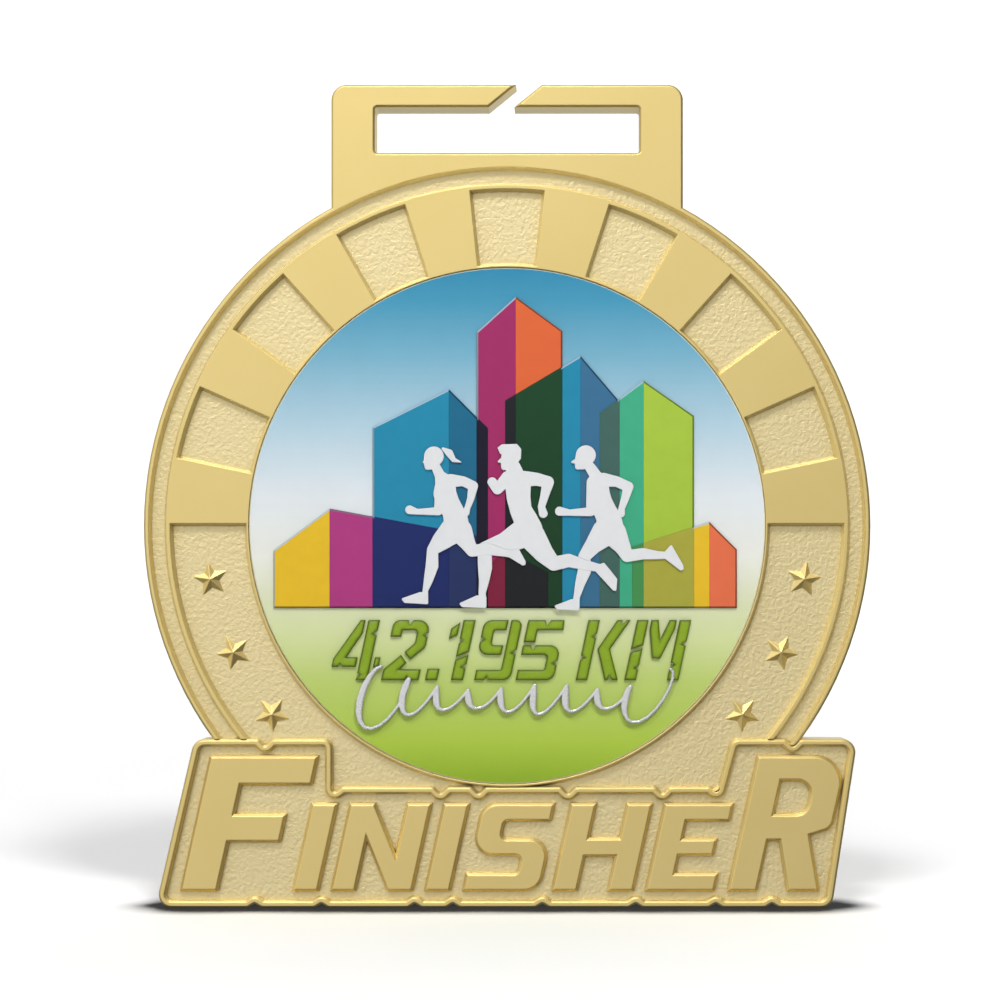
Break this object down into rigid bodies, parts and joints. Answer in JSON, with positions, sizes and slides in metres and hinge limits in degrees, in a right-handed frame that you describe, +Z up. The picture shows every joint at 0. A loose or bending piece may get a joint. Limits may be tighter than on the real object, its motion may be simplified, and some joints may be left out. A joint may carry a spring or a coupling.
{
  "type": "sports finisher medal",
  "caption": "Round gold finisher medal with a sunburst ring, split ribbon hanger, raised word plaque along the foot and a printed centre disc with raised skyline and runners",
  "frame": {"origin": "centre of the plaque's bottom edge, midway through the depth: the middle of the bottom of the bounding box", "axes": "+Z up from the plaque to the ribbon hanger, -Y out of the decorated front, +X to the viewer's right"},
  "size_m": [0.0762, 0.004, 0.0864],
  "materials": {
    "gold_casting": "matt pale gold plate, smooth on raised faces and fine stipple on sunk floors",
    "adhesive": "clear double-sided film",
    "disc_print": "printed colour fade from blue to green under a clear satin coat",
    "resin_white": "opaque white raised print",
    "resin_green": "puffed olive green raised print",
    "silver_bead": "silver lustre raised bead",
    "resin_yellow": "raised colour print with a smooth satin gloss",
    "resin_pink_magenta": "raised colour print with a smooth satin gloss",
    "resin_navy": "raised colour print with a smooth satin gloss",
    "resin_indigo": "raised colour print with a smooth satin gloss",
    "resin_teal": "raised colour print with a smooth satin gloss",
    "resin_deep_teal": "raised colour print with a smooth satin gloss",
    "resin_plum": "raised colour print with a smooth satin gloss",
    "resin_magenta": "raised colour print with a smooth satin gloss",
    "resin_orange": "raised colour print with a smooth satin gloss",
    "resin_charcoal": "raised colour print with a smooth satin gloss",
    "resin_forest": "raised colour print with a smooth satin gloss",
    "resin_blue": "raised colour print with a smooth satin gloss",
    "resin_steel_blue": "raised colour print with a smooth satin gloss",
    "resin_slate_green": "raised colour print with a smooth satin gloss",
    "resin_sea_green": "raised colour print with a smooth satin gloss",
    "resin_lime": "raised colour print with a smooth satin gloss",
    "resin_moss": "raised colour print with a smooth satin gloss",
    "resin_olive": "raised colour print with a smooth satin gloss",
    "resin_coral": "raised colour print with a smooth satin gloss",
    "resin_maroon": "raised colour print with a smooth satin gloss",
    "resin_black": "raised colour print with a smooth satin gloss"
  },
  "bodies": {
    "root": {"medal_casting": "gold_casting", "insert_adhesive_film": "adhesive", "centre_disc": "disc_print", "skyline_left_house_yellow": "resin_yellow", "skyline_right_house_yellow": "resin_yellow", "skyline_left_house_magenta": "resin_pink_magenta", "skyline_left_house_navy": "resin_navy", "skyline_left_house_indigo": "resin_indigo", "skyline_teal_tower_bright": "resin_teal", "skyline_teal_tower_shaded": "resin_deep_teal", "skyline_teal_tower_plum": "resin_plum", "skyline_tall_tower_magenta": "resin_magenta", "skyline_tall_tower_orange": "resin_orange", "skyline_tall_tower_charcoal": "resin_charcoal", "skyline_tall_tower_forest": "resin_forest", "skyline_blue_tower_bright": "resin_blue", "skyline_blue_tower_shaded": "resin_steel_blue", "skyline_blue_tower_slate": "resin_slate_green", "skyline_green_tower_sea": "resin_sea_green", "skyline_green_tower_lime": "resin_lime", "skyline_right_house_moss": "resin_moss", "skyline_right_house_olive": "resin_olive", "skyline_right_house_orange": "resin_coral", "skyline_middle_house_maroon": "resin_maroon", "skyline_middle_house_black": "resin_black", "runner_ponytail": "resin_white", "runner_crop_hair": "resin_white", "runner_round_hair": "resin_white", "figure_4": "resin_green", "figure_2": "resin_green", "figure_point": "resin_green", "figure_1": "resin_green", "figure_9": "resin_green", "figure_5": "resin_green", "letter_k": "resin_green", "letter_m": "resin_green", "silver_flourish": "silver_bead"}
  },
  "joints": []
}
